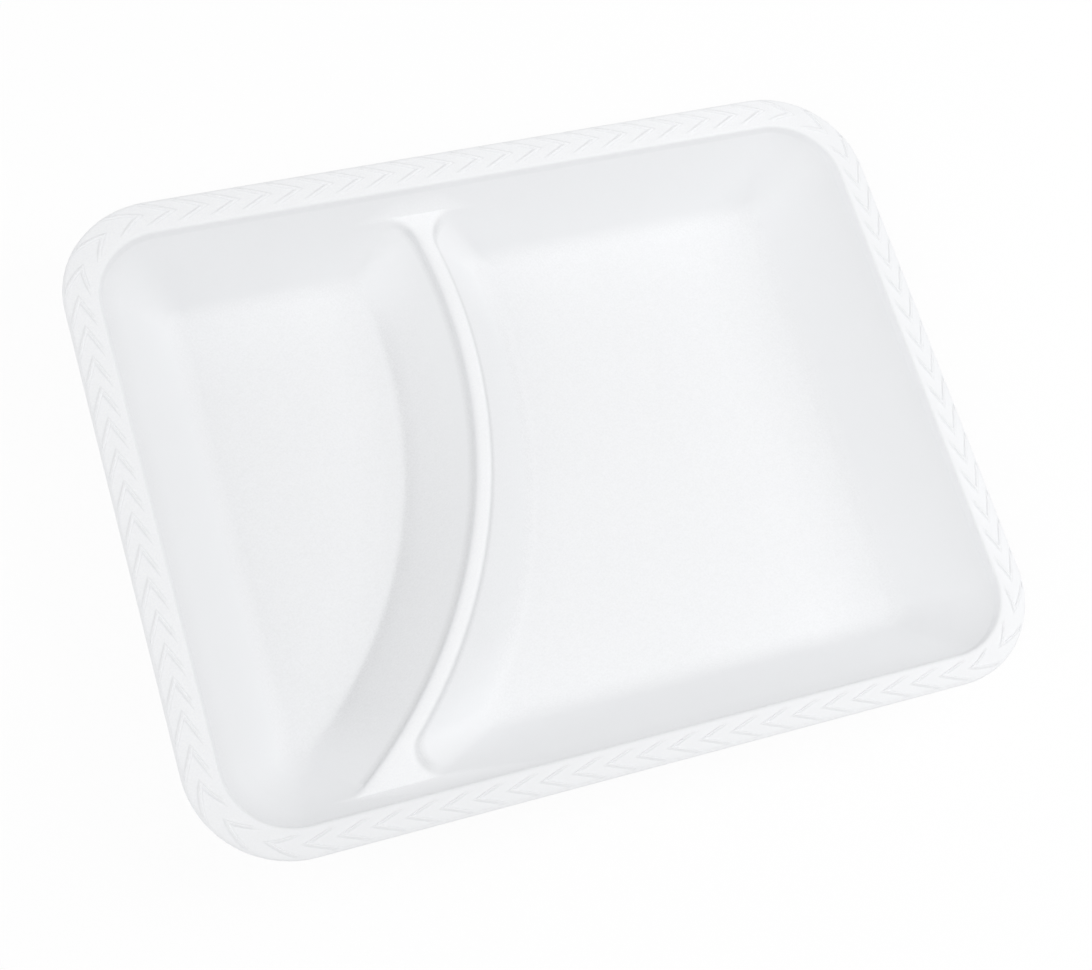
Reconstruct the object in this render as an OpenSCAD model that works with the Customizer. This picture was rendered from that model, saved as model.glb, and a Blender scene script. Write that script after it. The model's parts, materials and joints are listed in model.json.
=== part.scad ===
// Two-compartment foam plate, drawn from one sheet.
// The origin is the middle of the underside, on the table. X runs along the plate, Y across it, Z up.

/* [Plate] */
// Outside length of the rim
plate_l = 235; // [210:1:270]
// Outside width of the rim
plate_w = 184; // [165:1:215]
// Height of the rim's top above the table
plate_h = 25; // [22:0.5:32]
// Radius of the outline's corners
corner_r = 27.5; // [24:0.5:34]
// Thickness of the foam sheet
sheet_t = 2.2; // [1.6:0.1:2.8]

/* [Rim] */
// Width of the rim's sloping top
rim_w = 7.7; // [7.2:0.1:10]
// Fall of the rim from its inner edge to its outer edge
rim_fall = 2; // [1.2:0.1:3]
// Thickness of the rounded outer edge
edge_t = 1.4; // [1:0.1:2]
// Radius of the rounded edge round each compartment
lip_r = 0.9; // [0.5:0.1:1.2]
// Depth of the steep lip under that edge
lip_h = 2.2; // [1.6:0.1:3]
// Steepness of the lip, in degrees from the level
lip_angle = 72; // [65:1:80]

/* [Chevrons] */
// Spacing of the raised chevrons along the straight sides
chevron_pitch = 8.85; // [8:0.05:12]
// Chevrons in each corner
corner_chevrons = 3; // [2:1:4]
// Distance of a chevron's point from the outer edge
chevron_inset = 4; // [3.8:0.1:4.6]
// Length of each arm of a chevron
arm_l = 7.9; // [6:0.1:8.3]
// Angle of each arm from the line of the rim
arm_angle = 23; // [18:1:24]
// Width of the raised line
arm_w = 0.9; // [0.6:0.1:1.2]
// Height of the raised line
arm_h = 0.4; // [0.2:0.05:0.6]

/* [Compartments] */
// Length of the floor between the feet of the end walls
floor_l = 177.2; // [160:0.2:186]
// Width of the floor between the feet of the side walls
floor_w = 133; // [120:0.5:142]
// Corner radius at the feet of the walls
floor_corner_r = 4; // [3:0.5:8]
// Radius that blends the walls into the floor
foot_r = 8; // [4:0.5:10]

/* [Divider] */
// Height of the divider above the floor
divider_h = 15.3; // [12:0.1:17]
// Radius of the divider's curve, along its crest
divider_r = 150.8; // [140:0.1:170]
// Place along the plate of the crest's furthest point
crest_x = -13; // [-22:0.5:-8]
// Place across the plate of the crest's furthest point
crest_y = 41.3; // [30:0.1:46]
// Width of the crest's flat top
crest_w = 3; // [2:0.1:5]
// Run of the divider's side towards the small compartment
small_run = 21.1; // [17:0.1:24]
// Run of the divider's side towards the large compartment
large_run = 15.2; // [12:0.1:20]
// Corner radius of the compartments at the divider's ends
web_r = 8.5; // [6:0.1:11]
// The same radius at the large compartment's sharp corner
sharp_web_r = 6.6; // [5:0.1:9]
// The same radius at the floor
web_foot_r = 3; // [2:0.1:5]

/* [Hidden] */

// Segments in a corner, in the divider's arc and in a blend
corner_n = 12;
divider_n = 28;
foot_n = 4;
lip_n = 3;
edge_n = 6;
// How far one solid reaches into the next where they join
join = 0.5;
// Shortest straight stretch left between two corners
least_edge = 0.4;
// Chevron pitches from a side's start to its first point, from its last point back to the side's end,
// and from a corner's last point to the corner's end
first_lead = 0.7;
last_lead = 0.23;
corner_lead = 0.25;

floor_z = sheet_t;
edge_z = plate_h - rim_fall;
crest_z = floor_z + divider_h;
centre_x = crest_x - divider_r;
centre_y = crest_y;

// The steep lip's run, and where it ends below the edge that it hangs from
lip_run = lip_r * sin(lip_angle) + (lip_h - lip_r * (1 - cos(lip_angle))) / tan(lip_angle);
wall_top_z = plate_h - lip_h;
wall_top_inset = rim_w + lip_run;
wall_rise = wall_top_z - floor_z;
flank_rise = divider_h - lip_h;

// Slopes, in degrees from the level, of the rim, the end walls, the side walls and the divider's two sides
rim_slope = atan2(rim_fall - edge_t / 2, rim_w - edge_t / 2);
end_slope = atan2(wall_rise, plate_l / 2 - wall_top_inset - floor_l / 2);
side_slope = atan2(wall_rise, plate_w / 2 - wall_top_inset - floor_w / 2);
small_slope = atan2(flank_rise, small_run - crest_w / 2 - lip_run);
large_slope = atan2(flank_rise, large_run - crest_w / 2 - lip_run);

// How far a wall stands outside its foot at height h above it, with the blend of radius r
function wall_reach(h, slope, r) =
    h < r * (1 - cos(slope))
        ? sqrt(max(0, r * r - (r - h) * (r - h))) - r * tan(slope / 2)
        : h / tan(slope);

// Half sizes and corner radius of the walls' inner face at height z
function inner_l(z) = floor_l / 2 + wall_reach(z - floor_z, end_slope, foot_r);
function inner_w(z) = floor_w / 2 + wall_reach(z - floor_z, side_slope, foot_r);
function inner_corner(z) =
    floor_corner_r + (corner_r - wall_top_inset - floor_corner_r) * (z - floor_z) / wall_rise;

// The same for the outer face, one sheet thickness away
function outer_l(z) = floor_l / 2 + sheet_t * tan(end_slope / 2) + wall_reach(z, end_slope, foot_r + sheet_t);
function outer_w(z) = floor_w / 2 + sheet_t * tan(side_slope / 2) + wall_reach(z, side_slope, foot_r + sheet_t);
function outer_corner(z) = inner_corner(min(z + sheet_t, wall_top_z)) + sheet_t;

// How far the divider's side stands from the crest's middle line at height z, on its upper face
function flank_run(z, run, slope) =
    let(below = crest_z - z, turned = lip_r * (1 - cos(lip_angle)))
    below <= 0 ? crest_w / 2
        : below < turned ? crest_w / 2 + sqrt(lip_r * lip_r - (lip_r - below) * (lip_r - below))
        : below < lip_h ? crest_w / 2 + lip_run - (lip_h - below) / tan(lip_angle)
        : run - wall_reach(z - floor_z, slope, foot_r);

// The same on its lower face
function flank_under(z, run, slope) =
    run - sheet_t * tan(slope / 2) - wall_reach(z, slope, foot_r + sheet_t);

// Corner radius beside the divider at height z, from its value at the crest
function web_corner(z, r) = web_foot_r + (r - web_foot_r) * (z - floor_z) / divider_h;

// An arc about c from angle a to angle b, in n segments
function arc(c, r, a, b, n, z) =
    [for (i = [0 : n]) let(t = a + (b - a) * i / n) [c.x + r * cos(t), c.y + r * sin(t), z]];

// A rounded rectangle
function rounded(l, w, r, z) = [
    for (q = [0 : 3])
        let(sx = q == 0 || q == 3 ? 1 : -1, sy = q < 2 ? 1 : -1)
        each arc([sx * (l - r), sy * (w - r)], r, 90 * q, 90 * (q + 1), corner_n, z)
];

// Middle of a corner circle of radius r, at y, that touches the divider's arc of radius d
// from inside (side = -1) or from outside (side = 1)
function beside(d, r, y, side) = [
    centre_x + sqrt(max(1, pow(d + side * r, 2) - pow(y - centre_y, 2))),
    y
];
function bearing(c) = atan2(c.y - centre_y, c.x - centre_x);

// Outline of the small compartment: half sizes l and w, outer corners r, divider arc d, its corners c
function small_outline(l, w, r, d, c, z) =
    let(
        reach = -l + r + least_edge - centre_x,
        low = max(-w, centre_y - sqrt(max(1, pow(d - c, 2) - reach * reach)) - c),
        top_corner = beside(d, c, w - c, -1),
        low_corner = beside(d, c, low + c, -1)
    )
    concat(
        arc(top_corner, c, bearing(top_corner), 90, corner_n, z),
        arc([-l + r, w - r], r, 90, 180, corner_n, z),
        arc([-l + r, low + r], r, 180, 270, corner_n, z),
        arc(low_corner, c, 270, 360 + bearing(low_corner), corner_n, z),
        [for (i = [1 : divider_n - 1])
            let(t = bearing(low_corner) + (bearing(top_corner) - bearing(low_corner)) * i / divider_n)
            [centre_x + d * cos(t), centre_y + d * sin(t), z]]
    );

// Outline of the large compartment: c is the corner at the far end of the divider, s the sharp one
function large_outline(l, w, r, d, c, s, z) =
    let(
        top_corner = beside(d, c, w - c, 1),
        low_corner = beside(d, s, -w + s, 1)
    )
    concat(
        arc([l - r, w - r], r, 0, 90, corner_n, z),
        arc(top_corner, c, 90, 180 + bearing(top_corner), corner_n, z),
        [for (i = [1 : divider_n - 1])
            let(t = bearing(top_corner) + (bearing(low_corner) - bearing(top_corner)) * i / divider_n)
            [centre_x + d * cos(t), centre_y + d * sin(t), z]],
        arc(low_corner, s, 180 + bearing(low_corner), 270, corner_n, z),
        arc([l - r, -w + r], r, 270, 360, corner_n, z)
    );

// Triangles between neighbouring rings of n points, and the last ring back to the first when closed
function skin(n, k, closed) = [
    for (j = [0 : closed ? k - 1 : k - 2])
        for (i = [0 : n - 1])
            let(a = j * n, b = ((j + 1) % k) * n, m = (i + 1) % n)
            each [[a + i, b + i, b + m], [a + i, b + m, a + m]]
];

// Rings with the last one repeated at height top
function raised(rings, top) = concat(rings, [[for (p = rings[len(rings) - 1]) [p.x, p.y, top]]]);

// A solid through rings that are stacked upwards, closed by its first and last ring
module stacked(rings) {
    n = len(rings[0]);
    k = len(rings);
    polyhedron(
        points = [for (ring = rings) each ring],
        faces = concat(
            [[for (i = [0 : n - 1]) i]],
            skin(n, k, false),
            [[for (i = [n - 1 : -1 : 0]) (k - 1) * n + i]]
        ),
        convexity = 4
    );
}

// A band that runs round the plate, through rings that lead round its section
module banded(rings) {
    polyhedron(
        points = [for (ring = rings) each ring],
        faces = skin(len(rings[0]), len(rings), true),
        convexity = 6
    );
}

// Heights above a foot at which its blend of radius r is drawn
function blend_heights(r) =
    let(steepest = max(end_slope, side_slope, large_slope, small_slope))
    [for (i = [0 : foot_n]) r * (1 - cos(steepest * i / foot_n))];

// Heights at which a compartment's inside is drawn, up to the crest: its foot, its wall and its lip
space_levels = concat(
    [for (h = blend_heights(foot_r)) floor_z + h],
    [crest_z - lip_h],
    [for (i = [lip_n : -1 : 0]) crest_z - lip_r * (1 - cos(lip_angle * i / lip_n))]
);

// Heights at which its underside is drawn, up to the sheet under the crest
shell_levels = concat(blend_heights(foot_r + sheet_t), [crest_z - sheet_t]);

// Space of the small compartment, from its floor to just above the crest
module small_space() {
    stacked(raised([
        for (z = space_levels)
            small_outline(inner_l(z), inner_w(z), inner_corner(z),
                divider_r - flank_run(z, small_run, small_slope), web_corner(z, web_r), z)
    ], crest_z + join));
}

// Space of the large compartment, from its floor to just above the crest
module large_space() {
    stacked(raised([
        for (z = space_levels)
            large_outline(inner_l(z), inner_w(z), inner_corner(z),
                divider_r + flank_run(z, large_run, large_slope),
                web_corner(z, web_r), web_corner(z, sharp_web_r), z)
    ], crest_z + join));
}

// Underside of the small compartment, up into the sheet at the crest
module small_shell() {
    stacked(raised([
        for (z = shell_levels)
            small_outline(outer_l(z), outer_w(z), outer_corner(z),
                divider_r - flank_under(z, small_run, small_slope),
                web_corner(z + sheet_t, web_r) + sheet_t, z)
    ], crest_z - sheet_t + join));
}

// Underside of the large compartment, up into the sheet at the crest
module large_shell() {
    stacked(raised([
        for (z = shell_levels)
            large_outline(outer_l(z), outer_w(z), outer_corner(z),
                divider_r + flank_under(z, large_run, large_slope),
                web_corner(z + sheet_t, web_r) + sheet_t,
                web_corner(z + sheet_t, sharp_web_r) + sheet_t, z)
    ], crest_z - sheet_t + join));
}

// Level sheet at the crest, which the divider's top and the webs at its ends are part of
module crest_sheet() {
    stacked([
        for (z = [crest_z - sheet_t, crest_z]) rounded(outer_l(z), outer_w(z), outer_corner(z), z)
    ]);
}

// Upper walls and rim, as one band round the plate
module rim_band() {
    edge_r = edge_t / 2;
    under_z = plate_h - sheet_t - rim_fall / 2;
    banded(concat(
        [for (z = [crest_z, under_z]) rounded(outer_l(z), outer_w(z), outer_corner(z), z)],
        [for (i = [0 : edge_n])
            let(
                a = -90 + (180 + rim_slope) * i / edge_n,
                o = edge_r - edge_r * cos(a),
                z = edge_z + edge_r * sin(a)
            )
            rounded(plate_l / 2 - o, plate_w / 2 - o, corner_r - o, z)],
        [for (i = [0 : lip_n])
            let(
                a = lip_angle * i / lip_n,
                o = rim_w + lip_r * sin(a),
                z = plate_h - lip_r * (1 - cos(a))
            )
            rounded(plate_l / 2 - o, plate_w / 2 - o, corner_r - o, z)],
        [for (z = [wall_top_z, crest_z]) rounded(inner_l(z), inner_w(z), inner_corner(z), z)],
        [let(z = crest_z, d = sheet_t / 2)
            rounded(inner_l(z) + d, inner_w(z) + d, inner_corner(z) + d, z - join)]
    ));
}

// One raised chevron with its point at the origin, pointing along +X
module chevron() {
    half = arm_w / 2;
    front = half / sin(arm_angle);
    blunt = front - half;
    end = [-arm_l * cos(arm_angle), arm_l * sin(arm_angle)];
    across = [half * sin(arm_angle), half * cos(arm_angle)];
    linear_extrude(arm_h + join)
        polygon([
            [front - blunt, -blunt * tan(arm_angle)],
            [front - blunt, blunt * tan(arm_angle)],
            end + across,
            end - across,
            [-front, 0],
            [end.x - across.x, -end.y + across.y],
            [end.x + across.x, -end.y - across.y]
        ]);
}

// A chevron set on the rim's slope with its point at p, running in direction a
module set_chevron(p, a) {
    surface = plate_h - (rim_w - chevron_inset) * tan(rim_slope);
    translate([p.x, p.y, surface])
        rotate([0, 0, a])
            rotate([-rim_slope, 0, 0])
                translate([0, 0, -join])
                    chevron();
}

// The chain of chevrons, which runs clockwise round the rim
module chevrons() {
    run = corner_r - chevron_inset;
    for (q = [0 : 3]) {
        turn = -90 * q;
        half_side = (q % 2 == 0 ? plate_l : plate_w) / 2 - corner_r;
        half_across = (q % 2 == 0 ? plate_w : plate_l) / 2 - chevron_inset;
        count = round((2 * half_side + chevron_pitch / 2) / chevron_pitch);
        first = first_lead * chevron_pitch - half_side;
        last = last_lead * chevron_pitch + half_side;
        rotate([0, 0, turn]) {
            for (i = [0 : count - 1])
                set_chevron([first + (last - first) * i / (count - 1), half_across], 0);
            for (i = [1 : corner_chevrons])
                let(a = 90 * i / (corner_chevrons + corner_lead))
                set_chevron([half_side + run * sin(a), half_across - run * (1 - cos(a))], -a);
        }
    }
}

// The plate
module plate() {
    color("white")
        union() {
            rim_band();
            difference() {
                union() {
                    small_shell();
                    large_shell();
                    crest_sheet();
                }
                small_space();
                large_space();
            }
            chevrons();
        }
}

plate();
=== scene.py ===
"""Foam compartment plate: one moulded sheet with a chevron rim, two compartments and a curved divider.

The sheet is drawn as level outlines that are bridged into its upper and lower faces. Its rim is one
chevron cell, repeated along a strip that is then wrapped round the plate. Lengths are in metres.
"""
import json
import math

import bpy
from mathutils import Matrix, Quaternion, Vector

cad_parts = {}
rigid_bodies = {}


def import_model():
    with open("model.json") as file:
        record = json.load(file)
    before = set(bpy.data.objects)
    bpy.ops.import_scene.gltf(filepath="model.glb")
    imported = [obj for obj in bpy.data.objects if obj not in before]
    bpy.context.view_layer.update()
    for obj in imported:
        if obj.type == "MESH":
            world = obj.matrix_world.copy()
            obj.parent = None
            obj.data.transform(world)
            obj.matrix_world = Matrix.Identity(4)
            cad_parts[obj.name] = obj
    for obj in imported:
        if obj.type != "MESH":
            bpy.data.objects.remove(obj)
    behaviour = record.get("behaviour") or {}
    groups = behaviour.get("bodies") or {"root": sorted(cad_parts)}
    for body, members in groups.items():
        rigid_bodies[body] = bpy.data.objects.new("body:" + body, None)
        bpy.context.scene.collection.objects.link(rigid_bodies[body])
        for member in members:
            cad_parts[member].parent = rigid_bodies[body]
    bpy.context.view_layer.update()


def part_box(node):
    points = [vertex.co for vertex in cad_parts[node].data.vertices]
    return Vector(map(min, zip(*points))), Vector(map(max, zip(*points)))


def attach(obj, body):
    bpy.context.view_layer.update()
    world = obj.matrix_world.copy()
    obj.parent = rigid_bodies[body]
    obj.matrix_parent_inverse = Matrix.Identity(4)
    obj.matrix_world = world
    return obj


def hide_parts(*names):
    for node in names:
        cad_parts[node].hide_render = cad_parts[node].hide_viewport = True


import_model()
LOW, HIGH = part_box("plate")

bl_info = {
    "name": "Foam Compartment Plate",
    "version": (1, 0, 0),
    "blender": (4, 5, 0),
    "location": "View3D > Sidebar > Foam Plate",
    "description": "Models a two-compartment foam plate with a chevron rim",
    "category": "Add Mesh",
}

MM = 0.001
SPECK = 1e-5
WELD = 2e-5
SNAP = 1e-5
UP = (0, 0, 1)
QUARTER = math.pi / 2
LEAST_EDGE = 0.4 * MM

# Steps and cuts of the outlines and of the rim's section
FOOT_STEPS = 8
LIP_STEPS = 5
BEAD_STEPS = 7
BLEND_STEPS = 4
EDGE_STEPS = 8
UNDER_STEPS = 4
CORNER_STEPS = 20
WEB_STEPS = 12
DIVIDER_STEPS = 64
SIDE_CUTS = 11
GAP_COLUMNS = 3
SUPPORT = 0.3 * MM
SMOOTH_ANGLE = math.radians(38)

# A chevron's raised line across its width, and the rows of its outer and inner arm
LINE_SHAPE = (0, 0.3, 0.88, 1, 0.88, 0.3, 0)
OUT_ROWS = (0.12, 0.3, 0.5, 0.7, 0.85, 0.93, 0.97)
IN_ROWS = (0, 0.03, 0.08, 0.16, 0.32, 0.52, 0.72, 0.88)
OVERRUN = 20 * MM
PATH_STEP = 0.5 * MM
SHIFT_POWER = 1.5

# Painted light and shade stored on the mesh: how much painted shade darkens the creases, walls, feet and
# lines, against 1 for the painted highlight on the crest
PAINTED_SHADING_NAME = "tone"
CREASE_SHADE = 2.5
WALL_SHADE = 0.8
FOOT_SHADE = 1.8
LINE_SHADE = 1.8
LIP_SHADE = 0.45

# Where that painted light and shade begin and end: depths below the crest, widths, angles and shares of a
# web's arc
HIGHLIGHT_FADE = (0.25 * MM, 0.9 * MM)
CREASE_FADE = (0.3 * MM, 1.3 * MM)
FOOT_RISE = 0.7 * MM
CONTACT_SHADE_WIDTH = 0.25 * MM
LIP_BACK = 0.9 * MM
END_FADE = 0.16
NEAR_FADE = 0.6
WEB_FADE = (0.5, 0.97)

# How the rim's painted highlight and painted shade change from side to side
HIGHLIGHT_SHARE = 0.55
HIGHLIGHT_TURN = 0.45
LIP_TURN = 0.9

# The stage
FLOOR_SIZE = 6.0
FLOOR_WHITE = 0.92
LAMPS = (
    ("left_lamp", "SUN", (-0.73, -0.22, 0.65), {"angle": math.radians(60)}),
    ("far_lamp", "SUN", (0.36, 0.44, 0.82), {"angle": math.radians(40)}),
    ("end_lamp", "AREA", (0.8, -0.1, 0.7), {"size": 0.6}),
)


class PlateSizes(bpy.types.PropertyGroup):
    """Sizes of the sheet, its compartments and its divider."""

    sheet: bpy.props.FloatProperty(
        name="Sheet", description="Thickness of the foam sheet", default=2.2 * MM, unit="LENGTH")
    rim_top: bpy.props.FloatProperty(
        name="Rim height", description="Height of the rim's inner edge", default=25 * MM, unit="LENGTH")
    corner: bpy.props.FloatProperty(
        name="Corner", description="Radius of the outline's corners", default=27.5 * MM, unit="LENGTH")
    floor_length: bpy.props.FloatProperty(
        name="Floor length", description="Length between the feet of the end walls",
        default=177.2 * MM, unit="LENGTH")
    floor_width: bpy.props.FloatProperty(
        name="Floor width", description="Width between the feet of the side walls",
        default=133 * MM, unit="LENGTH")
    floor_corner: bpy.props.FloatProperty(
        name="Floor corner", description="Corner radius at the feet of the walls", default=4 * MM,
        unit="LENGTH")
    foot: bpy.props.FloatProperty(
        name="Foot", description="Radius that blends the walls into the floor", default=8 * MM,
        unit="LENGTH")
    divider_height: bpy.props.FloatProperty(
        name="Divider height", description="Height of the crest above the floor", default=15.3 * MM,
        unit="LENGTH")
    divider_radius: bpy.props.FloatProperty(
        name="Divider radius", description="Radius of the crest's curve", default=150.8 * MM,
        unit="LENGTH")
    crest_x: bpy.props.FloatProperty(
        name="Crest X", description="Place along the plate of the crest's furthest point",
        default=-13 * MM, unit="LENGTH")
    crest_y: bpy.props.FloatProperty(
        name="Crest Y", description="Place across the plate of the crest's furthest point",
        default=41.3 * MM, unit="LENGTH")
    crest: bpy.props.FloatProperty(
        name="Crest", description="Width of the crest's flat top", default=0.8 * MM, unit="LENGTH")
    bead: bpy.props.FloatProperty(
        name="Bead", description="Radius of the rounded edges of the crest", default=2 * MM, unit="LENGTH")
    bead_angle: bpy.props.FloatProperty(
        name="Bead angle", description="Steepness of the crest's sides", default=math.radians(75),
        subtype="ANGLE")
    bead_depth: bpy.props.FloatProperty(
        name="Bead depth", description="Depth of the crest's steep sides", default=2.3 * MM, unit="LENGTH")
    small_run: bpy.props.FloatProperty(
        name="Small side", description="Run of the divider's side in the small compartment",
        default=19.9 * MM, unit="LENGTH")
    small_foot: bpy.props.FloatProperty(
        name="Small foot", description="Radius that blends that side into the floor", default=4 * MM,
        unit="LENGTH")
    large_run: bpy.props.FloatProperty(
        name="Large side", description="Run of the divider's side in the large compartment",
        default=15.2 * MM, unit="LENGTH")
    web: bpy.props.FloatProperty(
        name="Web corner", description="Corner radius at the divider's ends", default=8.5 * MM,
        unit="LENGTH")
    sharp_web: bpy.props.FloatProperty(
        name="Sharp web corner", description="The same at the large compartment's sharp corner",
        default=6.6 * MM, unit="LENGTH")
    web_foot: bpy.props.FloatProperty(
        name="Web foot", description="The same radii at the floor", default=3 * MM, unit="LENGTH")


class RimSizes(bpy.types.PropertyGroup):
    """Sizes of the rim, of the lip inside it and of the raised chevrons."""

    width: bpy.props.FloatProperty(
        name="Width", description="Width of the rim's sloping top", default=8.25 * MM, unit="LENGTH")
    offset: bpy.props.FloatVectorProperty(
        name="Offset", description="How far the opening inside the rim lies off the outline's middle",
        default=(0.35 * MM, -1.35 * MM), size=2, unit="LENGTH")
    fall: bpy.props.FloatProperty(
        name="Fall", description="Fall from the rim's inner edge to the middle of its outer edge",
        default=2 * MM, unit="LENGTH")
    crown: bpy.props.FloatProperty(
        name="Crown", description="Power of the fall across the rim, 1 for a plain slope", default=1.5,
        min=1, max=3)
    edge: bpy.props.FloatProperty(
        name="Edge", description="Thickness of the rounded outer edge", default=1.4 * MM, unit="LENGTH")
    lip: bpy.props.FloatProperty(
        name="Lip", description="Radius of the rounded edge round each compartment", default=0.9 * MM,
        unit="LENGTH")
    lip_depth: bpy.props.FloatProperty(
        name="Lip depth", description="Depth of the steep lip", default=2.2 * MM, unit="LENGTH")
    lip_angle: bpy.props.FloatProperty(
        name="Lip angle", description="Steepness of the lip", default=math.radians(72), subtype="ANGLE")
    pitch: bpy.props.FloatProperty(
        name="Pitch", description="Spacing of the chevrons on the sides", default=8.85 * MM,
        unit="LENGTH")
    in_corner: bpy.props.IntProperty(
        name="In a corner", description="Chevrons in each corner", default=3, min=1)
    inset: bpy.props.FloatProperty(
        name="Inset", description="Distance of a chevron's point from the outer edge", default=4 * MM,
        unit="LENGTH")
    arm_angle: bpy.props.FloatProperty(
        name="Arm angle", description="Angle of an arm from the line of the rim",
        default=math.radians(23), subtype="ANGLE")
    arm_out: bpy.props.FloatProperty(
        name="Outer arm", description="Distance of the outer arm's end from the outer edge",
        default=0.75 * MM, unit="LENGTH")
    arm_in: bpy.props.FloatProperty(
        name="Inner arm", description="Distance of the inner arm's end from the outer edge",
        default=7.1 * MM, unit="LENGTH")
    point: bpy.props.FloatProperty(
        name="Point", description="Radius that rounds a chevron's point", default=0.15 * MM, unit="LENGTH")
    first_lead: bpy.props.FloatProperty(
        name="First lead", description="Pitches from a side's start to its first point", default=0.7)
    last_lead: bpy.props.FloatProperty(
        name="Last lead", description="Pitches from a side's end to its last point", default=0.23)
    corner_lead: bpy.props.FloatProperty(
        name="Corner lead", description="Steps from a corner's last point to its end", default=0.25)
    under_bend: bpy.props.FloatProperty(
        name="Under bend", description="Radius between the outer wall and the rim", default=1.2 * MM,
        unit="LENGTH")
    lip_bend: bpy.props.FloatProperty(
        name="Lip bend", description="Radius between the lip and the wall", default=1.5 * MM,
        unit="LENGTH")
    line: bpy.props.FloatProperty(
        name="Line", description="Width of a chevron's raised line", default=1.0 * MM, unit="LENGTH")
    line_height: bpy.props.FloatProperty(
        name="Line height", description="Height of that line", default=0.4 * MM, unit="LENGTH")
    taper: bpy.props.FloatProperty(
        name="Taper", description="Length over which a line is lower at its ends", default=0.6 * MM,
        unit="LENGTH")


class FoamFinish(bpy.types.PropertyGroup):
    """Colour and grain of the foam, and the strength of the light and shade painted into its colour."""

    colour: bpy.props.FloatVectorProperty(
        name="Colour", description="Colour of the foam", subtype="COLOR", size=3,
        default=(0.93, 0.938, 0.952), min=0, max=1)
    # How strongly the painted highlight and painted shade stored on the mesh lighten and darken the colour
    contrast: bpy.props.FloatProperty(
        name="Contrast", description="How much paler the raised skin is than the walls", default=0.045,
        min=0, max=0.2)
    roughness: bpy.props.FloatProperty(
        name="Roughness", description="Roughness of the foam's skin", default=0.55, min=0, max=1)
    cell: bpy.props.FloatProperty(
        name="Cell", description="Size of the foam's cells", default=0.5 * MM, unit="LENGTH")
    grain: bpy.props.FloatProperty(
        name="Grain", description="Depth of the grain", default=0.06 * MM, unit="LENGTH")
    speckle: bpy.props.FloatProperty(
        name="Speckle", description="How much the grain changes the colour", default=0.12, min=0, max=1)
    smooth: bpy.props.FloatProperty(
        name="Wall grain", description="Share of the grain that the walls keep", default=0.2, min=0, max=1)
    mottle: bpy.props.FloatProperty(
        name="Mottle", description="How much broad, soft patches change the colour", default=0.015,
        min=0, max=1)
    patches: bpy.props.FloatProperty(
        name="Patches", description="Soft patches in a metre", default=60, min=0)


class StudioLight(bpy.types.PropertyGroup):
    """Strengths of the even light and of the lamps."""

    world: bpy.props.FloatProperty(
        name="World", description="Strength of the even light from all round", default=0.525, min=0)
    left_lamp: bpy.props.FloatProperty(
        name="Left lamp", description="Strength of the distant lamp on the small compartment's side",
        default=0.8, min=0)
    far_lamp: bpy.props.FloatProperty(
        name="Far lamp", description="Strength of the distant lamp on the far side", default=0.24, min=0)
    end_lamp: bpy.props.FloatProperty(
        name="End lamp", description="Power of the square lamp at the large compartment's end",
        default=3.2, min=0, unit="POWER")


class CameraView(bpy.types.PropertyGroup):
    """Where the camera stands and what it looks at."""

    place: bpy.props.FloatVectorProperty(
        name="Place", description="Place of the camera", default=(-0.15650, -0.16990, 0.51060),
        subtype="XYZ", unit="LENGTH")
    aim: bpy.props.FloatVectorProperty(
        name="Aim", description="Point in the middle of the picture", default=(-0.0057, -0.0113, 0.023),
        subtype="XYZ", unit="LENGTH")
    roll: bpy.props.FloatProperty(
        name="Roll", description="Turn of the camera about its own axis", default=math.radians(28.5),
        subtype="ANGLE")
    lens: bpy.props.FloatProperty(
        name="Lens", description="Focal length in millimetres, on a 36 mm wide picture", default=65.8)


def sizes():
    """The sheet's sizes, as set in the scene."""
    return bpy.context.scene.plate_sizes


def rim():
    """The rim's sizes, as set in the scene."""
    return bpy.context.scene.plate_rim


# Selecting and editing

def deselect():
    """Nothing stays selected, in object mode."""
    if bpy.context.object and bpy.context.object.mode != "OBJECT":
        bpy.ops.object.mode_set(mode="OBJECT")
    bpy.ops.object.select_all(action="DESELECT")


def edit(piece):
    """Opens one piece in edit mode, by its vertices, with nothing selected in it."""
    deselect()
    piece.select_set(True)
    bpy.context.view_layer.objects.active = piece
    bpy.ops.object.mode_set(mode="EDIT")
    bpy.ops.mesh.select_mode(type="VERT")
    bpy.ops.mesh.select_all(action="DESELECT")


def pick(piece, wanted):
    """Selects the vertices of the edited piece at the places that wanted says yes to."""
    bpy.ops.mesh.select_mode(type="VERT")
    bpy.ops.mesh.select_all(action="DESELECT")
    bpy.ops.object.mode_set(mode="OBJECT")
    for vertex in piece.data.vertices:
        vertex.select = bool(wanted(vertex.co))
    bpy.ops.object.mode_set(mode="EDIT")


def join(pieces, name):
    """One object of several, named and at the origin."""
    deselect()
    for piece in pieces:
        piece.select_set(True)
    bpy.context.view_layer.objects.active = pieces[0]
    if len(pieces) > 1:
        bpy.ops.object.join()
    piece = bpy.context.object
    piece.name = name
    return piece


def speck(name):
    """A new object at the origin, in edit mode, that is one selected vertex."""
    deselect()
    bpy.ops.mesh.primitive_plane_add(size=SPECK)
    bpy.context.object.name = name
    bpy.ops.object.mode_set(mode="EDIT")
    bpy.ops.mesh.merge(type="CENTER")
    return bpy.context.object


def modify(piece, kind, **settings):
    """Adds a modifier to a piece and applies it."""
    deselect()
    piece.select_set(True)
    bpy.context.view_layer.objects.active = piece
    modifier = piece.modifiers.new(kind.title(), kind)
    for setting, value in settings.items():
        setattr(modifier, setting, value)
    bpy.ops.object.modifier_apply(modifier=modifier.name)


# The sheet's section: half sizes and radii at a height

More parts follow.
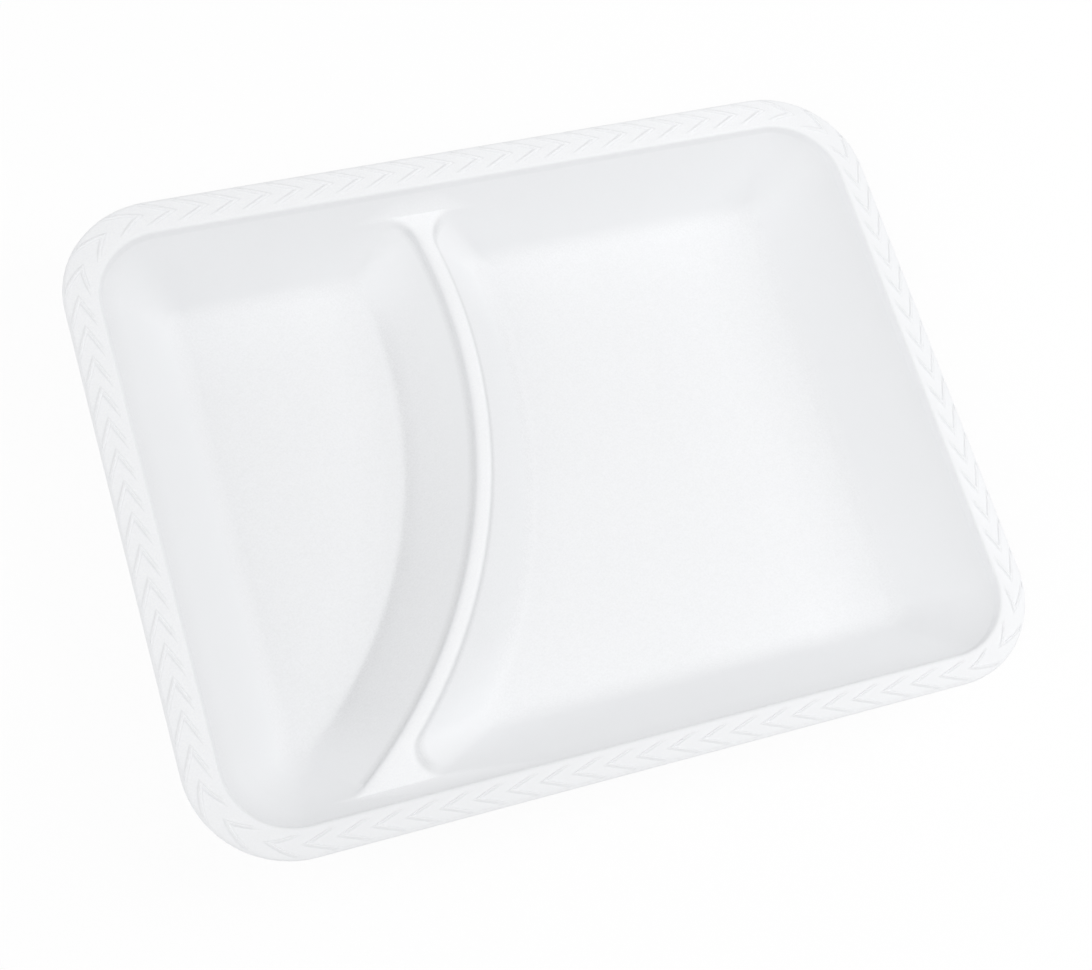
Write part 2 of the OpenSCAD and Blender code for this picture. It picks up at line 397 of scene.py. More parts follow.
def reach(height, slope, radius):
    """How far a wall stands outside its foot at a height above it, with the foot's blend."""
    if height < radius * (1 - math.cos(slope)):
        return math.sqrt(max(0, radius**2 - (radius - height)**2)) - radius * math.tan(slope / 2)
    return height / math.tan(slope)


class Face:
    """One face of the sheet: how wide its compartments are at each height."""

    def __init__(self, under):
        s, r = sizes(), rim()
        self.under = under
        self.lip_run = r.lip * math.sin(r.lip_angle) + (
            r.lip_depth - r.lip * (1 - math.cos(r.lip_angle))) / math.tan(r.lip_angle)
        rise = s.rim_top - r.lip_depth - s.sheet
        inset = r.width + self.lip_run
        self.rise, self.top_corner = rise, s.corner - inset
        self.end = math.atan2(rise, HIGH.x - inset - s.floor_length / 2)
        self.side = math.atan2(rise, HIGH.y - inset - s.floor_width / 2)
        self.bead_out = s.crest / 2 + s.bead * math.sin(s.bead_angle) + (
            s.bead_depth - s.bead * (1 - math.cos(s.bead_angle))) / math.tan(s.bead_angle)
        flank_rise = s.divider_height - s.bead_depth
        self.small = math.atan2(flank_rise, s.small_run - self.bead_out)
        self.large = math.atan2(flank_rise, s.large_run - self.bead_out)
        self.shift = s.sheet if under else 0
        self.floor = 0 if under else s.sheet
        self.blend = s.foot + self.shift
        self.crest = s.sheet + s.divider_height - self.shift

    def out(self, slope):
        """How far this face's foot stands from the upper face's one."""
        return self.shift * math.tan(slope / 2)

    def half(self, z):
        """Half length and half width of the outline at height z."""
        s, above = sizes(), z - self.floor
        return (s.floor_length / 2 + self.out(self.end) + reach(above, self.end, self.blend),
                s.floor_width / 2 + self.out(self.side) + reach(above, self.side, self.blend))

    def share(self, z):
        """How far up the walls a height is, from 0 at the floor to 1 at the lip."""
        return min(1, (z + self.shift - sizes().sheet) / self.rise)

    def limits(self, z):
        """The outline's least and greatest X and its least and greatest Y at height z."""
        half_l, half_w = self.half(z)
        x, y = (value * self.share(z) for value in rim().offset)
        return x - half_l, x + half_l, y - half_w, y + half_w

    def corner(self, z):
        """Corner radius of the outline at height z."""
        s = sizes()
        return s.floor_corner + (self.top_corner - s.floor_corner) * self.share(z) + self.shift

    def web(self, z, radius):
        """Corner radius beside the divider at height z, from the one at the crest."""
        s = sizes()
        share = (z + self.shift - s.sheet) / s.divider_height
        return s.web_foot + (radius - s.web_foot) * share + self.shift

    def flank(self, z, run, slope, foot):
        """How far the divider's side stands from the crest's middle line."""
        s, below = sizes(), self.crest - z
        if self.under:
            return run - self.out(slope) - reach(z, slope, foot + self.shift)
        turned = s.bead * (1 - math.cos(s.bead_angle))
        if below <= 0:
            return s.crest / 2
        if below < turned:
            return s.crest / 2 + math.sqrt(s.bead**2 - (s.bead - below)**2)
        if below < s.bead_depth:
            return self.bead_out - (s.bead_depth - below) / math.tan(s.bead_angle)
        return run - reach(z - self.floor, slope, foot)

    def levels(self):
        """Heights of the outlines, from the floor to the crest."""
        s = sizes()
        steepest = max(self.end, self.side, self.small, self.large)
        foot = [self.floor + self.blend * (1 - math.cos(steepest * i / FOOT_STEPS))
                for i in range(FOOT_STEPS + 1)]
        if self.under:
            return foot + [self.crest]
        bead = [self.crest - s.bead * (1 - math.cos(s.bead_angle * i / BEAD_STEPS))
                for i in range(BEAD_STEPS, -1, -1)]
        bend = self.crest - s.bead_depth
        return foot + [foot[-1] + SUPPORT, bend - 4 * SUPPORT, bend - SUPPORT, bend, bend + SUPPORT] + bead


class Arc:
    """Part of a circle in plan, from one angle to another, and the cuts in the straight line after it."""

    def __init__(self, centre, radius, start, stop, steps, cuts=0):
        self.centre, self.radius, self.start, self.stop = centre, radius, start, stop
        self.steps, self.cuts = steps, cuts

    def point(self, angle):
        """Place in plan at an angle on the arc."""
        return self.centre + self.radius * Vector((math.cos(angle), math.sin(angle)))

    def holds(self, place):
        """Whether a place lies on the arc, seen from above."""
        away = Vector(place[:2]) - self.centre
        if abs(away.length - self.radius) > SNAP:
            return False
        low, high = sorted((self.start, self.stop))
        slack = SNAP / self.radius
        turn = (math.atan2(away.y, away.x) - low + slack) % (2 * math.pi)
        return turn <= high - low + 2 * slack


def divider_centre():
    """Middle of the divider's curve, in plan."""
    s = sizes()
    return Vector((s.crest_x - s.divider_radius, s.crest_y))


def beside(radius, corner, y, side):
    """Middle of a corner circle at y that touches the divider's arc from inside (-1) or outside (1)."""
    centre = divider_centre()
    across = (radius + side * corner)**2 - (y - centre.y)**2
    return Vector((centre.x + math.sqrt(max(SPECK, across)), y))


def bearing(place):
    """Direction of a place in plan, seen from the middle of the divider's curve."""
    away = place - divider_centre()
    return math.atan2(away.y, away.x)


def small_arcs(face, z):
    """The small compartment's outline at height z: web corner, two outer corners, web corner, divider."""
    s = sizes()
    left, _, low, high = face.limits(z)
    corner, web = face.corner(z), face.web(z, s.web)
    radius = s.divider_radius - face.flank(z, s.small_run, face.small, s.small_foot)
    centre = divider_centre()
    left += corner
    across = left + LEAST_EDGE - centre.x
    low = max(low, centre.y - math.sqrt(max(SPECK, (radius - web)**2 - across**2)) - web)
    top, bottom = beside(radius, web, high - web, -1), beside(radius, web, low + web, -1)
    return [
        Arc(top, web, bearing(top), QUARTER, WEB_STEPS, 5),
        Arc(Vector((left, high - corner)), corner, QUARTER, 2 * QUARTER, CORNER_STEPS, SIDE_CUTS),
        Arc(Vector((left, low + corner)), corner, 2 * QUARTER, 3 * QUARTER, CORNER_STEPS, 1),
        Arc(bottom, web, 3 * QUARTER, 4 * QUARTER + bearing(bottom), WEB_STEPS),
        Arc(centre, radius, bearing(bottom), bearing(top), DIVIDER_STEPS),
    ]


def large_arcs(face, z):
    """The large compartment's outline at height z, round from its far corner."""
    s = sizes()
    _, right, low, high = face.limits(z)
    corner, web, sharp = face.corner(z), face.web(z, s.web), face.web(z, s.sharp_web)
    radius = s.divider_radius + face.flank(z, s.large_run, face.large, s.foot)
    top, bottom = beside(radius, web, high - web, 1), beside(radius, sharp, low + sharp, 1)
    right -= corner
    return [
        Arc(Vector((right, high - corner)), corner, 0, QUARTER, CORNER_STEPS, SIDE_CUTS),
        Arc(top, web, QUARTER, 2 * QUARTER + bearing(top), WEB_STEPS),
        Arc(divider_centre(), radius, bearing(top), bearing(bottom), DIVIDER_STEPS),
        Arc(bottom, sharp, 2 * QUARTER + bearing(bottom), 3 * QUARTER, WEB_STEPS, SIDE_CUTS),
        Arc(Vector((right, low + corner)), corner, 3 * QUARTER, 4 * QUARTER, CORNER_STEPS, SIDE_CUTS),
    ]


def divider_arcs(face, z):
    """The arcs of both outlines at height z that border the divider and its webs, its long sides last."""
    small, large = small_arcs(face, z), large_arcs(face, z)
    return [small[0], small[3], large[1], large[3], large[2], small[4]]


def draw_outline(arcs, z):
    """A closed line at height z: each arc is spun, and straight stretches are extruded between them."""
    line = speck("outline")
    bpy.ops.transform.translate(value=(*arcs[0].point(arcs[0].start), z))
    for arc, after in zip(arcs, arcs[1:] + arcs[:1]):
        bpy.ops.mesh.spin(steps=arc.steps, angle=arc.start - arc.stop,
                          center=(*arc.centre, z), axis=UP)
        gap = after.point(after.start) - arc.point(arc.stop)
        if gap.length > SNAP:
            move = gap / (arc.cuts + 1)
            for _ in range(arc.cuts + 1):
                bpy.ops.mesh.extrude_region_move(TRANSFORM_OT_translate={"value": (*move, 0)})
    bpy.ops.mesh.select_all(action="SELECT")
    bpy.ops.mesh.remove_doubles(threshold=WELD)
    return line


def draw_face(under):
    """One face of the sheet up to its crest: two bridged compartments, their floors and the crest."""
    face = Face(under)
    bowls = []
    for arcs_at in (small_arcs, large_arcs):
        bowl = join([draw_outline(arcs_at(face, z), z) for z in face.levels()], "bowl")
        edit(bowl)
        bpy.ops.mesh.select_all(action="SELECT")
        bpy.ops.mesh.bridge_edge_loops()
        pick(bowl, lambda place: abs(place.z - face.floor) < SNAP)
        bpy.ops.mesh.edge_face_add()
        bowls.append(bowl)
    sheet = join(bowls, "under_face" if under else "upper_face")
    crest_arcs = divider_arcs(face, face.crest)
    edit(sheet)
    pick(sheet, lambda place: abs(place.z - face.crest) < SNAP
         and any(arc.holds(place) for arc in crest_arcs))
    bpy.ops.mesh.bridge_edge_loops()
    deselect()
    if not under:
        paint_divider_shading(sheet, face)
    return sheet


def step(value, low, high):
    """0 below low and 1 above high, in a smooth step between them."""
    share = min(1, max(0, (value - low) / (high - low)))
    return share * share * (3 - 2 * share)


def tone(piece, value_at):
    """Stores painted light (above 0) or painted shade (below 0) at each vertex."""
    tones = piece.data.attributes.new(PAINTED_SHADING_NAME, "FLOAT", "POINT")
    for vertex, entry in zip(piece.data.vertices, tones.data):
        entry.value = value_at(vertex.co)


def paint_divider_shading(sheet, face):
    """Painted highlight on the crest, painted shade in the creases at both of its sides, and painted shade on
    the walls and feet that fades towards the webs.
    """
    s = sizes()
    arcs_at = {round(z / SNAP): divider_arcs(face, z) for z in face.levels()}
    large_side, small_side = 4, 5

    def value_at(place):
        arcs = arcs_at.get(round(place.z / SNAP), [])
        held = [i for i, arc in enumerate(arcs) if arc.holds(place)]
        if not held:
            return 0
        below, arc = face.crest - place.z, arcs[max(held)]
        # Painted highlight on the crest, and painted shade in the creases beside it
        highlight = 1 - step(below, *HIGHLIGHT_FADE)
        crease = CREASE_SHADE * step(below, *CREASE_FADE) * (
            1 - step(below, s.bead_depth, s.bead_depth + 3 * SUPPORT))
        if max(held) < large_side:
            wallward = abs(place.y - arc.centre.y) / arc.radius
            return highlight - crease * (1 - step(wallward, *WEB_FADE))
        angle = bearing(Vector(place[:2]))
        off_floor = step(place.z, face.floor, face.floor + FOOT_RISE)
        # Painted shade on the divider's walls, and a painted shadow along the foot of its small side
        shade = WALL_SHADE * off_floor * step(below, CREASE_FADE[0], s.bead_depth)
        if small_side in held:
            shade *= step(-angle, 0, NEAR_FADE)
            shade += FOOT_SHADE * off_floor * step(below, s.divider_height / 2, s.divider_height)
        from_end = min(abs(angle - arc.start), abs(angle - arc.stop))
        return highlight - crease - shade * step(from_end, 0, END_FADE)

    tone(sheet, value_at)


# The rim, as a straight strip of chevrons that is wrapped round the plate

def crown(inset):
    """Height of the rim's crowned top at a distance from the outer edge."""
    s, r = sizes(), rim()
    share = (r.width - inset) / (r.width - r.edge / 2)
    return s.rim_top - (r.fall - r.edge / 2) * share**r.crown


def lean(inset):
    """How far a chevron's line lies behind its point at a distance from the outer edge."""
    r = rim()
    off = min(max(inset, r.arm_out), r.arm_in) - r.inset
    return (math.hypot(off, r.point) - r.point) / math.tan(r.arm_angle)


def band_section():
    """The rim's section as (distance from the outer edge, height), from the outer wall round to the inner."""
    s, r = sizes(), rim()
    upper, lower = Face(False), Face(True)
    radius, middle = r.edge / 2, s.rim_top - r.fall
    slope = (upper.end + upper.side) / 2
    wall_z = s.rim_top - s.sheet - r.fall / 2
    half_l, half_w = lower.half(wall_z)
    wall = (HIGH.x - half_l + HIGH.y - half_w) / 2
    points = []
    bend = r.under_bend
    lead = bend * math.tan(slope / 2)
    start = (wall + lead * math.cos(slope), wall_z - lead * math.sin(slope))
    for i in range(UNDER_STEPS + 1):
        angle = slope * (1 - i / UNDER_STEPS)
        points.append((start[0] - bend * (math.sin(slope) - math.sin(angle)),
                       start[1] + bend * (math.cos(angle) - math.cos(slope))))
    turn = math.pi + math.atan2(r.fall - radius, r.width - radius)
    for i in range(EDGE_STEPS + 1):
        angle = -math.pi / 2 + turn * i / EDGE_STEPS
        points.append((radius - radius * math.cos(angle), middle + radius * math.sin(angle)))
    outer = points[-1][0]
    rows = [outer + (r.arm_out - outer) * 0.5, r.arm_out]
    rows += [r.arm_out + (r.inset - r.arm_out) * t for t in OUT_ROWS]
    rows += [r.inset + (r.arm_in - r.inset) * t for t in IN_ROWS]
    rows += [r.arm_in, (r.arm_in + r.width) / 2, r.width]
    points += [(row, crown(row)) for row in rows]
    for i in range(1, LIP_STEPS + 1):
        angle = r.lip_angle * i / LIP_STEPS
        points.append((r.width + r.lip * math.sin(angle), s.rim_top - r.lip * (1 - math.cos(angle))))
    foot = (r.width + upper.lip_run, s.rim_top - r.lip_depth)
    lead = r.lip_bend * math.tan((r.lip_angle - slope) / 2)
    start = (foot[0] - lead * math.cos(r.lip_angle), foot[1] + lead * math.sin(r.lip_angle))
    for i in range(BLEND_STEPS + 1):
        angle = r.lip_angle + (slope - r.lip_angle) * i / BLEND_STEPS
        points.append((start[0] + r.lip_bend * (math.sin(r.lip_angle) - math.sin(angle)),
                       start[1] - r.lip_bend * (math.cos(angle) - math.cos(r.lip_angle))))
    points.append((points[-1][0] + SUPPORT * math.cos(slope), points[-1][1] - SUPPORT * math.sin(slope)))
    return points


def draw_cell(section, length):
    """One chevron laid out straight: the section is extruded over a gap and then over the raised line."""
    r = rim()
    run = r.line / math.sin(r.arm_angle)
    gap = length - run
    contact = CONTACT_SHADE_WIDTH / math.sin(r.arm_angle)
    columns = [0] + [contact + (gap - 2 * contact) * i / GAP_COLUMNS for i in range(GAP_COLUMNS + 1)]
    columns += [gap + run * i / (len(LINE_SHAPE) - 1) for i in range(len(LINE_SHAPE))]
    cell = speck("cell")
    places = [Vector((-lean(inset), r.inset - inset, z)) for inset, z in section]
    bpy.ops.transform.translate(value=places[0])
    for before, after in zip(places, places[1:]):
        bpy.ops.mesh.extrude_region_move(TRANSFORM_OT_translate={"value": after - before})
    bpy.ops.mesh.select_all(action="SELECT")
    for before, after in zip(columns, columns[1:]):
        bpy.ops.mesh.extrude_region_move(TRANSFORM_OT_translate={"value": (after - before, 0, 0)})
    for taper in (0, r.taper):
        for i, share in enumerate(LINE_SHAPE):
            if share:
                x = gap + run * i / (len(LINE_SHAPE) - 1)
                pick(cell, lambda place: r.arm_out + taper < r.inset - place.y - SNAP
                     and r.inset - place.y + SNAP < r.arm_in - taper
                     and place.z > sizes().rim_top - r.fall
                     and abs(place.x + lean(r.inset - place.y) - x) < SNAP)
                bpy.ops.transform.translate(value=(0, 0, share * r.line_height / 2))
    deselect()
    # Stores the rim's painted highlight and painted shade
    tone(cell, lambda place: band_painted_shading(place, gap, length))
    return cell


def band_painted_shading(place, gap, length):
    """Painted highlight on the rim, painted shade in thin lines at both edges of each raised line, and
    painted shade in the crease at the lip.
    """
    s, r = sizes(), rim()
    inset = r.inset - place.y
    if inset < r.edge / 2 or place.z < s.rim_top - r.fall and inset < r.width:
        return 0
    foot = r.width + Face(False).lip_run
    # Painted highlight on the rim's top, and painted shade in the crease below the lip
    value = 1 - step(inset, r.width, foot - 0.3 * MM)
    value -= LIP_SHADE * step(inset, r.width, foot - 0.2 * MM) * (1 - step(inset, foot, foot + LIP_BACK))
    # Painted shade in thin lines along both edges of each raised line
    if r.arm_out + SNAP < inset < r.arm_in - SNAP:
        along = place.x + lean(inset)
        contact = CONTACT_SHADE_WIDTH / math.sin(r.arm_angle)
        away = min(abs(along - gap), abs(along), abs(along - length))
        value -= LINE_SHADE * (1 - step(away, 0, contact))
    return value


def spacings():
    """Lengths and counts of the cells along half of the plate's round, from a long side's start."""
    r = rim()
    turn = (sizes().corner - r.inset) * QUARTER
    each = turn / (r.in_corner + r.corner_lead)
    found = []
    for half_side in (HIGH.x - sizes().corner, HIGH.y - sizes().corner):
        count = round((2 * half_side + r.pitch / 2) / r.pitch)
        along = 2 * half_side + (r.last_lead - r.first_lead) * r.pitch
        found += [(along / (count - 1), count - 1), (each - r.last_lead * r.pitch, 1),
                  (each, r.in_corner - 1), (turn - each * r.in_corner + r.first_lead * r.pitch, 1)]
    return found


def path_point(distance):
    """Place on the line of the chevrons' points, which runs clockwise from the start of the upper side."""
    s = sizes()
    radius = s.corner - rim().inset
    half_l, half_w = HIGH.x - s.corner, HIGH.y - s.corner
    turn = radius * QUARTER
    distance %= 4 * (half_l + half_w + turn)
    start, heading = Vector((-half_l, half_w + radius)), 0.0
    for half_side in (half_l, half_w, half_l, half_w):
        along = Vector((math.cos(heading), math.sin(heading)))
        if distance <= 2 * half_side:
            return start + along * distance
        distance -= 2 * half_side
        start += along * 2 * half_side
        inward = Vector((along.y, -along.x))
        if distance <= turn:
            angle = distance / radius
            return start + radius * (math.sin(angle) * along + (1 - math.cos(angle)) * inward)
        distance -= turn
        start += radius * (along + inward)
        heading -= QUARTER
    return start


def draw_path(start, length):
    """The line that the strip follows, a little longer than one round at both ends."""
    count = math.ceil((length + 2 * OVERRUN) / PATH_STEP)
    curve = bpy.data.curves.new("path", "CURVE")
    curve.dimensions = "2D"
    spline = curve.splines.new("POLY")
    spline.points.add(count)
    for i, point in enumerate(spline.points):
        point.co = (*path_point(start - OVERRUN + (length + 2 * OVERRUN) * i / count), 0, 1)
    path = bpy.data.objects.new("path", curve)
    bpy.context.scene.collection.objects.link(path)
    return path


def edge_distance(place):
    """How far inside the plate's outline a place lies, and the way from there to the outline, in plan."""
    s = sizes()
    x, y = abs(place.x) - HIGH.x + s.corner, abs(place.y) - HIGH.y + s.corner
    if min(x, y) < 0:
        x, y = (x, 0) if x > y else (0, y)
    way = Vector((math.copysign(x, place.x), math.copysign(y, place.y)))
    return s.corner - way.length, way.normalized()


def settle(band):
    """Moves the rim's inner side to its off-centre opening, and makes its painted highlight and painted shade
    differ from side to side.
    """
    s, r = sizes(), rim()
    upper, lower = Face(False), Face(True)
    opening = band.vertex_groups.new(name="opening")
    for vertex, entry in zip(band.data.vertices, band.data.attributes[PAINTED_SHADING_NAME].data):
        (inset, way), z = edge_distance(vertex.co), vertex.co.z
        on_top = entry.value or inset < r.width and z > s.rim_top - s.sheet - r.fall
        share = min(1, max(0, inset) / r.width)**SHIFT_POWER * (upper if on_top else lower).share(z)
        opening.add([vertex.index], share, "REPLACE")
        # The painted highlight is strongest on the far and left sides, the lip's painted shade on the near
        # and left sides
        if entry.value > 0:
            entry.value *= min(1, max(0, HIGHLIGHT_SHARE + HIGHLIGHT_TURN * (way.y - way.x)))
        elif inset > r.width:
            entry.value *= max(0, 1 - LIP_TURN * (way.x + way.y))
    for axis, distance in zip("XY", r.offset):
        modify(band, "DISPLACE", direction=axis, strength=distance, mid_level=0, vertex_group="opening")
    band.vertex_groups.clear()


def draw_band():
    """The rim and its chevrons, from the outer wall round the edge to the inner wall."""
    r, section = rim(), band_section()
    run = r.line / math.sin(r.arm_angle)
    strips, x = [], 0.0
    for length, count in spacings() * 2:
        if count:
            strip = draw_cell(section, length)
            modify(strip, "ARRAY", count=count, use_relative_offset=False, use_constant_offset=True,
                   constant_offset_displace=(length, 0, 0), use_merge_vertices=True, merge_threshold=WELD)
            edit(strip)
            bpy.ops.mesh.select_all(action="SELECT")
            bpy.ops.transform.translate(value=(x + OVERRUN, 0, 0))
            strips.append(strip)
        x += length * count
    band = join(strips, "band")
    path = draw_path(r.first_lead * r.pitch + run / 2, x)
    modify(band, "CURVE", object=path, deform_axis="POS_X")
    bpy.data.objects.remove(path)
    edit(band)
    bpy.ops.mesh.select_all(action="SELECT")
    bpy.ops.mesh.remove_doubles(threshold=WELD)
    deselect()
    settle(band)
    return band


def bridge_edges(piece, low, high):
    """Bridges the two open edges of a piece that lie at the heights low and high."""
    edit(piece)
    bpy.ops.mesh.select_non_manifold(extend=False, use_wire=False, use_multi_face=False,
                                     use_non_contiguous=False, use_verts=False)
    bpy.ops.object.mode_set(mode="OBJECT")
    for vertex in piece.data.vertices:
        vertex.select = vertex.select and min(abs(vertex.co.z - low), abs(vertex.co.z - high)) < SNAP
    for edge in piece.data.edges:
        edge.select = edge.select and all(piece.data.vertices[i].select for i in edge.vertices)
    bpy.ops.object.mode_set(mode="EDIT")
    bpy.ops.mesh.bridge_edge_loops()
    deselect()


# Materials

class Wire:
    """A value on its way between nodes: plain arithmetic on it adds the Math nodes."""

    def __init__(self, tree, socket):
        self.tree, self.socket = tree, socket

    def op(self, operation, *values, clamp=False):
        """A Math node on these values."""
        return self.tree.node("ShaderNodeMath", {"operation": operation, "use_clamp": clamp},
                              {i: value for i, value in enumerate(values)})

    def __add__(self, other):
        return self.op("ADD", self, other)

    def __sub__(self, other):
        return self.op("SUBTRACT", self, other)

    def __rsub__(self, other):
        return self.op("SUBTRACT", other, self)

    def __mul__(self, other):
        return self.op("MULTIPLY", self, other)

    __radd__, __rmul__ = __add__, __mul__

    def rise(self, low, high):
        """0 below low and 1 above high, with a smooth step between them."""
        return self.tree.node("ShaderNodeMapRange", {"interpolation_type": "SMOOTHSTEP"},
                              {"Value": self, "From Min": low, "From Max": high})


class Tree:
    """A material's nodes, all of which are added by one method."""

    def __init__(self, owner):
        owner.use_nodes = True
        self.tree = owner.node_tree
        self.tree.nodes.clear()

    def node(self, kind, settings=None, values=None, output=0):
        """Adds a node with its settings first and then its inputs, and gives one of its outputs."""
        made = self.tree.nodes.new(kind)
        for setting, value in (settings or {}).items():
            setattr(made, setting, value)
        for socket, value in (values or {}).items():
            if isinstance(value, Wire):
                self.tree.links.new(value.socket, made.inputs[socket])
            else:
                made.inputs[socket].default_value = value
        return Wire(self, made.outputs[output]) if len(made.outputs) else made


def foam_material():
    """Matt white foam: smooth on the walls, with the fine grain of its cells on the floors and the rim, and
    with the painted highlight and painted shade stored on the mesh in its colour.
    """
    finish, s = bpy.context.scene.plate_foam, sizes()
    tree = Tree(material := bpy.data.materials.new("foam"))
    place = tree.node("ShaderNodeTexCoord", output="Object")
    height = tree.node("ShaderNodeSeparateXYZ", values={"Vector": place}, output="Z")
    # Painted highlight (above 0) and painted shade (below 0) stored on the mesh
    stored_shading = tree.node("ShaderNodeAttribute", {"attribute_name": PAINTED_SHADING_NAME}, output="Fac")
    on_floor = 1 - height.rise(s.sheet + 0.2 * MM, s.sheet + 3 * MM)
    shading_mask = stored_shading.op("ABSOLUTE", stored_shading, clamp=True)
    grainy = finish.smooth + (on_floor + shading_mask) * (1 - finish.smooth)
    cells = tree.node("ShaderNodeTexNoise", values={
        "Vector": place, "Scale": 1 / finish.cell, "Detail": 2.0, "Roughness": 0.6})
    waves = tree.node("ShaderNodeTexNoise", values={
        "Vector": place, "Scale": finish.patches, "Detail": 2.0})
    relief = (cells - 0.5) * grainy
    bump = tree.node("ShaderNodeBump", values={"Strength": 1.0, "Distance": finish.grain, "Height": relief})
    # The colour's change: painted highlight and painted shade from the mesh, plus random soft patches and the
    # grain's speckle
    shade = stored_shading * finish.contrast + (waves - 0.5) * finish.mottle + relief * finish.speckle
    colour = tree.node("ShaderNodeVectorMath", {"operation": "SCALE"}, {
        "Vector": tuple(finish.colour), "Scale": shade + 1})
    skin = tree.node("ShaderNodeBsdfPrincipled", values={
        "Base Color": colour, "Roughness": finish.roughness, "Normal": bump})
    tree.node("ShaderNodeOutputMaterial", values={"Surface": skin})
    return material


def background_share(tree):
    """1 for the rays that show the white background: those of the camera, of metal and of glass."""
    seen, glossy, through = (tree.node("ShaderNodeLightPath", output=f"Is {kind} Ray")
                             for kind in ("Camera", "Glossy", "Transmission"))
    return seen + glossy + through


def floor_material():
    """White floor: plain white to the camera, with a share of its real shade so that the shadow stays."""
    tree = Tree(material := bpy.data.materials.new("floor"))
    matt = tree.node("ShaderNodeBsdfDiffuse", values={"Color": (1, 1, 1, 1)})
    white = tree.node("ShaderNodeEmission", values={"Color": (1, 1, 1, 1), "Strength": 1.0})
    mixed = tree.node("ShaderNodeMixShader", values={
        0: background_share(tree) * FLOOR_WHITE, 1: matt, 2: white})
    tree.node("ShaderNodeOutputMaterial", values={"Surface": mixed})
    return material


# The stage

def add_world(strength):
    """Even light from all round, white where the camera sees past the floor."""
    world = bpy.data.worlds.new("studio")
    bpy.context.scene.world = world
    tree = Tree(world)
    dim = tree.node("ShaderNodeBackground", values={"Color": (1, 1, 1, 1), "Strength": strength})
    white = tree.node("ShaderNodeBackground", values={"Color": (1, 1, 1, 1), "Strength": 1.0})
    mixed = tree.node("ShaderNodeMixShader", values={0: background_share(tree), 1: dim, 2: white})
    tree.node("ShaderNodeOutputWorld", values={"Surface": mixed})


def add_lamp(name, kind, place, strength, settings):
    """A lamp that shines from a place onto the plate's middle."""
    bpy.ops.object.light_add(type=kind, location=place)
    lamp = bpy.context.object
    lamp.name = name
    lamp.data.energy = strength
    for setting, value in settings.items():
        setattr(lamp.data, setting, value)
    lamp.rotation_euler = Vector(place).to_track_quat("Z", "Y").to_euler()


def add_camera():
    """The camera at the photograph's viewing angle, rolled about its own axis."""
    view = bpy.context.scene.plate_view
    bpy.ops.object.camera_add()
    camera = bpy.context.object
    away = Vector(view.place) - Vector(view.aim)
    turn = away.to_track_quat("Z", "Y") @ Quaternion((0, 0, 1), view.roll)
    camera.matrix_world = Matrix.LocRotScale(Vector(view.place), turn, None)
    camera.data.lens = view.lens
    camera.data.sensor_fit = "HORIZONTAL"
    camera.data.sensor_width = 36
    bpy.context.scene.camera = camera


# Operators

class PLATE_OT_faces(bpy.types.Operator):
    """Draws the upper and the lower face of the compartments"""

    bl_idname = "foam_plate.faces"
    bl_label = "Add Faces"
    bl_options = {"REGISTER", "UNDO"}

    def execute(self, context):
        draw_face(False)
        draw_face(True)
        return {"FINISHED"}


class PLATE_OT_rim(bpy.types.Operator):
    """Draws the rim with its chevrons"""

    bl_idname = "foam_plate.rim"
    bl_label = "Add Rim"
    bl_options = {"REGISTER", "UNDO"}

    def execute(self, context):
        draw_band()
        return {"FINISHED"}


class PLATE_OT_plate(bpy.types.Operator):
    """Joins the faces and the rim into the plate and gives it its foam"""

    bl_idname = "foam_plate.plate"
    bl_label = "Join Plate"
    bl_options = {"REGISTER", "UNDO"}

    def execute(self, context):
        objects = bpy.data.objects
        plate = join([objects[name] for name in ("upper_face", "under_face", "band")], "foam_plate")
        section = band_section()
        bridge_edges(plate, Face(False).crest, section[-1][1])
        bridge_edges(plate, Face(True).crest, section[0][1])
        edit(plate)
        bpy.ops.mesh.select_all(action="SELECT")
        bpy.ops.mesh.normals_make_consistent(inside=False)
        deselect()
        plate.select_set(True)
        bpy.context.view_layer.objects.active = plate
        bpy.ops.object.shade_smooth_by_angle(angle=SMOOTH_ANGLE)
        plate.data.materials.clear()
        plate.data.materials.append(foam_material())
        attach(plate, "root")
        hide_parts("plate")
        return {"FINISHED"}


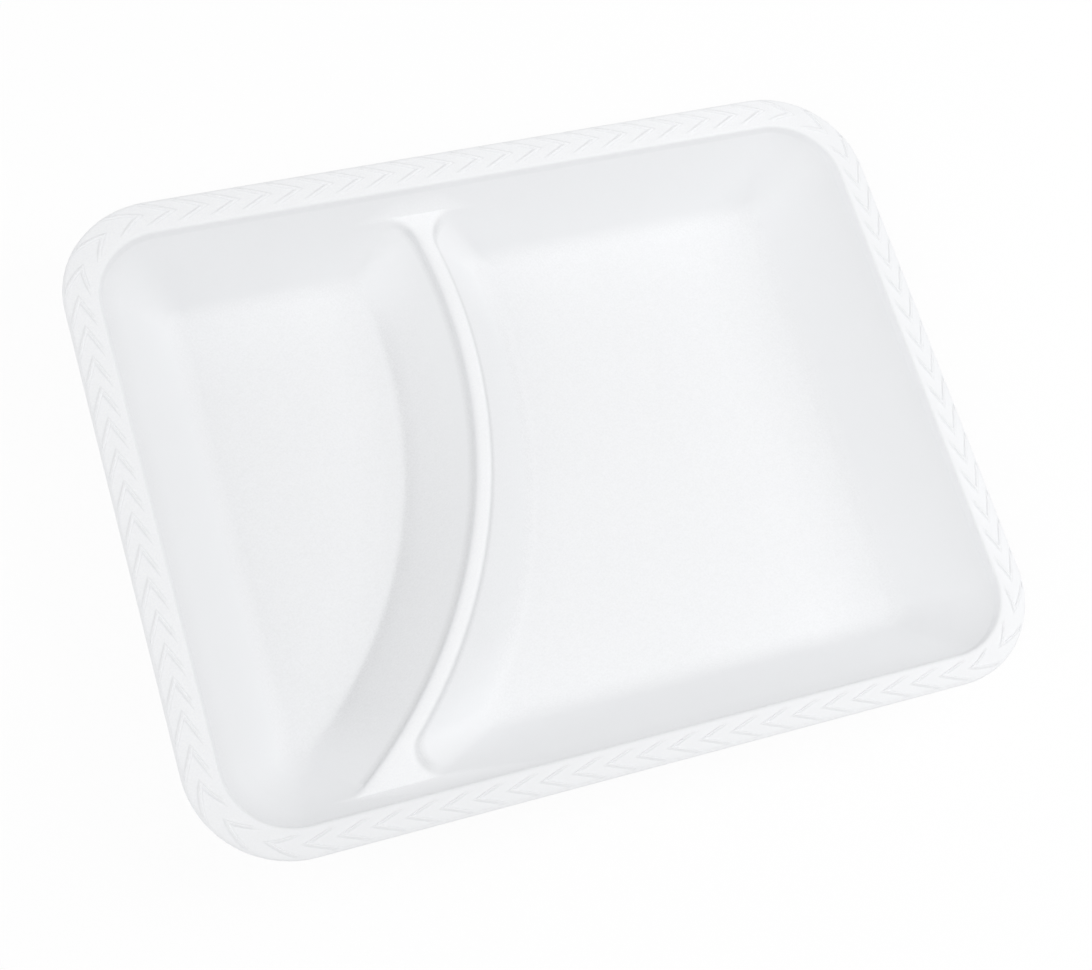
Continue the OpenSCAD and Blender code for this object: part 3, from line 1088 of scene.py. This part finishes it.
class PLATE_OT_stage(bpy.types.Operator):
    """Adds the floor, the lamps and the camera"""

    bl_idname = "foam_plate.stage"
    bl_label = "Add Stage"
    bl_options = {"REGISTER", "UNDO"}

    def execute(self, context):
        deselect()
        light = context.scene.plate_light
        bpy.ops.mesh.primitive_plane_add(size=FLOOR_SIZE)
        floor = context.object
        floor.name = "floor"
        floor.data.materials.append(floor_material())
        add_world(light.world)
        for name, kind, place, settings in LAMPS:
            add_lamp(name, kind, place, getattr(light, name), settings)
        add_camera()
        return {"FINISHED"}


class PLATE_PT_panel(bpy.types.Panel):
    """The plate's sizes and steps, in the sidebar"""

    bl_idname = "PLATE_PT_panel"
    bl_label = "Foam Plate"
    bl_space_type = "VIEW_3D"
    bl_region_type = "UI"
    bl_category = "Foam Plate"

    def draw(self, context):
        for name, group in GROUPS:
            box = self.layout.box()
            box.label(text=group.__doc__)
            for key in group.__annotations__:
                box.prop(getattr(context.scene, name), key)
        for operator in OPERATORS:
            self.layout.operator(operator.bl_idname)


GROUPS = (("plate_sizes", PlateSizes), ("plate_rim", RimSizes), ("plate_foam", FoamFinish),
          ("plate_light", StudioLight), ("plate_view", CameraView))
OPERATORS = (PLATE_OT_faces, PLATE_OT_rim, PLATE_OT_plate, PLATE_OT_stage)


def register():
    """Adds the properties, the operators and the panel."""
    for name, group in GROUPS:
        bpy.utils.register_class(group)
        setattr(bpy.types.Scene, name, bpy.props.PointerProperty(type=group))
    for part in (*OPERATORS, PLATE_PT_panel):
        bpy.utils.register_class(part)


def unregister():
    """Takes them away again."""
    for part in (PLATE_PT_panel, *reversed(OPERATORS)):
        bpy.utils.unregister_class(part)
    for name, group in reversed(GROUPS):
        delattr(bpy.types.Scene, name)
        bpy.utils.unregister_class(group)


def main():
    """Builds the plate and its stage."""
    register()
    bpy.ops.foam_plate.faces()
    bpy.ops.foam_plate.rim()
    bpy.ops.foam_plate.plate()
    bpy.ops.foam_plate.stage()
    bpy.context.scene.view_settings.view_transform = "Standard"


if __name__ == "__main__":
    main()
